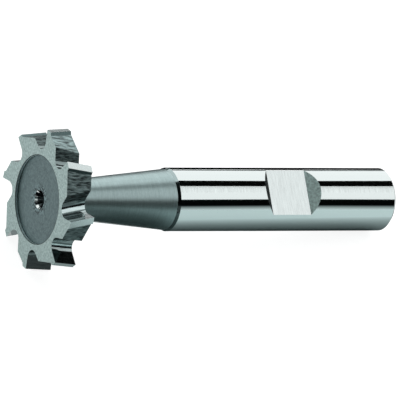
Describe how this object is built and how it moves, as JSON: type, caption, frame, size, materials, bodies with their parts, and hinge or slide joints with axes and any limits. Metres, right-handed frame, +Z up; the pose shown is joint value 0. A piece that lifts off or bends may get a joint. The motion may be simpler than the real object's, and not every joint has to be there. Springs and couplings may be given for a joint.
{
  "type": "woodruff keyseat cutter",
  "caption": "Thin staggered-tooth disc cutter on a tapered neck and a round shank with a clamping flat, for milling woodruff keyseats.",
  "frame": {"origin": "on the bench, under the middle of the lying cutter's box", "axes": "+Z up from the bench; the cutter's axis lies in the XZ plane with the toothed head at -X, and slopes down 5.27 degrees towards the end of the shank at +X"},
  "size_m": [0.0642, 0.0214, 0.0214],
  "materials": {
    "high_speed_steel": "bare high-speed steel: bright ground shank, satin turned neck, finely ground side faces, milled tooth backs and gullets"
  },
  "bodies": {
    "root": {"keyseat_cutter": "high_speed_steel"}
  },
  "joints": []
}
